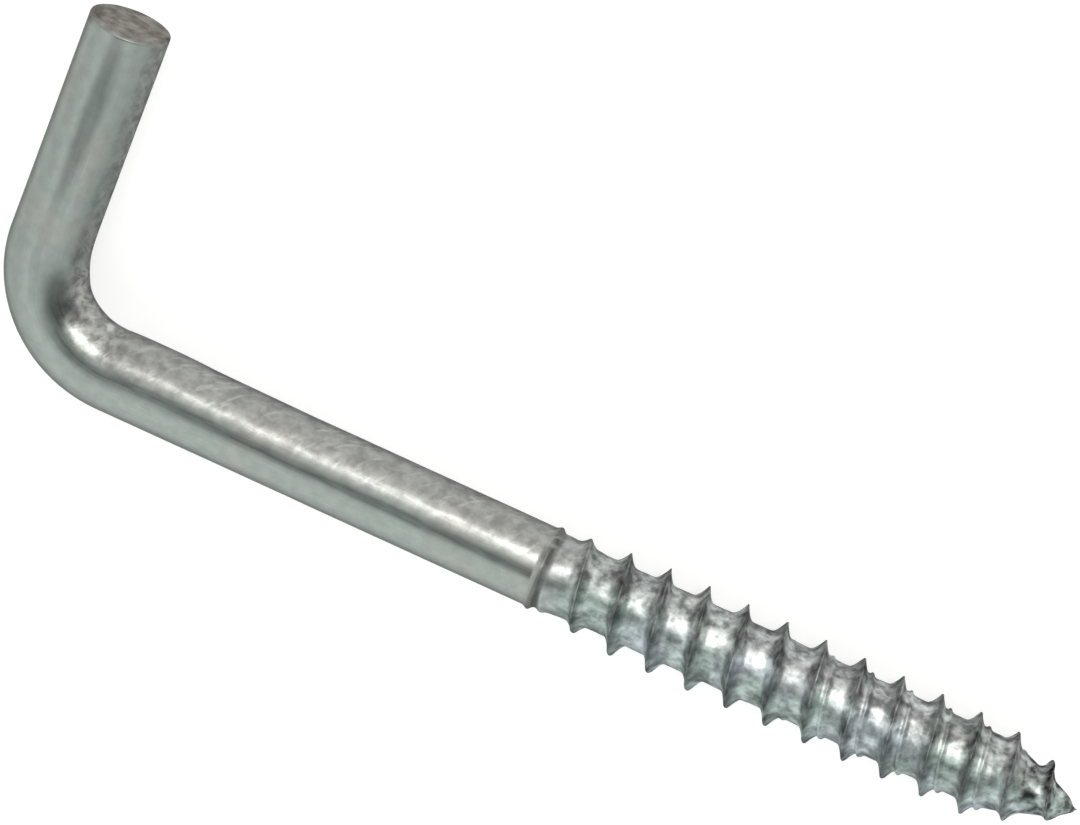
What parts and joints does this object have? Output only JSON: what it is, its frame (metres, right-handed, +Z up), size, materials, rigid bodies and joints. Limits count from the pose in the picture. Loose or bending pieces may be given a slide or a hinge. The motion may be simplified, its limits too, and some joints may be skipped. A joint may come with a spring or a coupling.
{
  "type": "screw-in hinge pin",
  "caption": "Round steel bar bent square: a plain upright pin for a hinge eye and a long shank with a pointed wood-screw thread.",
  "frame": {"origin": "on the hinge pin's axis where the straight pin leaves the bend, which is where a hinge eye comes to rest", "axes": "+X along the shank towards the point, +Y up the hinge pin to its free end, +Z up; the part lies flat with both legs in the XY plane"},
  "size_m": [0.143, 0.0483, 0.0126],
  "materials": {
    "zinc_plated_steel": "bright zinc plate over drawn bar, with faint drawing lines, dull in the thread and on the sheared end"
  },
  "bodies": {
    "root": {"hinge_pin": "zinc_plated_steel"}
  },
  "joints": []
}
